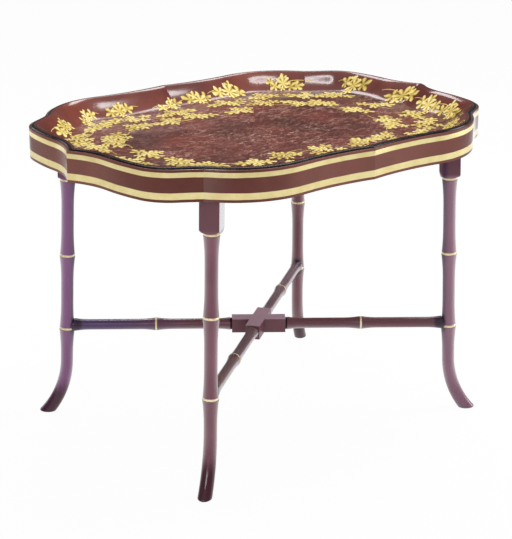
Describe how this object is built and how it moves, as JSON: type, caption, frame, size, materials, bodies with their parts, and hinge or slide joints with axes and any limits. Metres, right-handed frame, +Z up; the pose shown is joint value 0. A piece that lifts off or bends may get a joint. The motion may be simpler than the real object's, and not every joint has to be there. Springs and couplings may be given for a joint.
{
  "type": "tray top tea table",
  "caption": "Low tea table: a shaped lacquer tray with a flared rim and gilt foliage, lifting out of a painted apron on raked bamboo-turned legs with crossed stretchers.",
  "frame": {"origin": "on the floor, under the middle of the table", "axes": "+X along the long side to the right, +Y from the front long side to the back one, +Z up"},
  "size_m": [0.75, 0.546, 0.52],
  "materials": {
    "tray_lacquer": "oxblood lacquer on moulded papier-mache, satin gloss, fine worn streaks",
    "painted_wood": "maroon paint under a satin varnish, gilt bands and rings",
    "gilding": "aged gilt paint, soft sheen",
    "black_edge": "black gloss lacquer on the tray's rolled edge",
    "frame_wood": "plain planed hardwood, unfinished",
    "screw_steel": "plain countersunk steel",
    "pad_felt": "dense green felt"
  },
  "bodies": {
    "stand": {"apron_back_left": "painted_wood", "apron_back_right": "painted_wood", "apron_front_left": "painted_wood", "apron_front_right": "painted_wood", "apron_left_back": "painted_wood", "apron_left_front": "painted_wood", "apron_right_back": "painted_wood", "apron_right_front": "painted_wood", "bearer_back": "frame_wood", "bearer_front": "frame_wood", "bearer_left": "frame_wood", "bearer_right": "frame_wood", "bearer_screws": "screw_steel", "corner_block_back_left": "frame_wood", "corner_block_back_right": "frame_wood", "corner_block_front_left": "frame_wood", "corner_block_front_right": "frame_wood", "crossing_screw": "painted_wood", "leg_back_left": "painted_wood", "leg_back_right": "painted_wood", "leg_front_left": "painted_wood", "leg_front_right": "painted_wood", "leg_screws": "screw_steel", "stretcher_lower": "painted_wood", "stretcher_upper": "painted_wood", "tip_block_back": "frame_wood", "tip_block_front": "frame_wood", "tip_block_left": "frame_wood", "tip_block_right": "frame_wood", "tray_pads": "pad_felt"},
    "tray": {"tray": "tray_lacquer"}
  },
  "joints": [
    {"name": "tray_lift", "type": "slide", "parent": "stand", "child": "tray", "axis": [0, 0, 1], "range_m": [0, 0.1]}
  ]
}
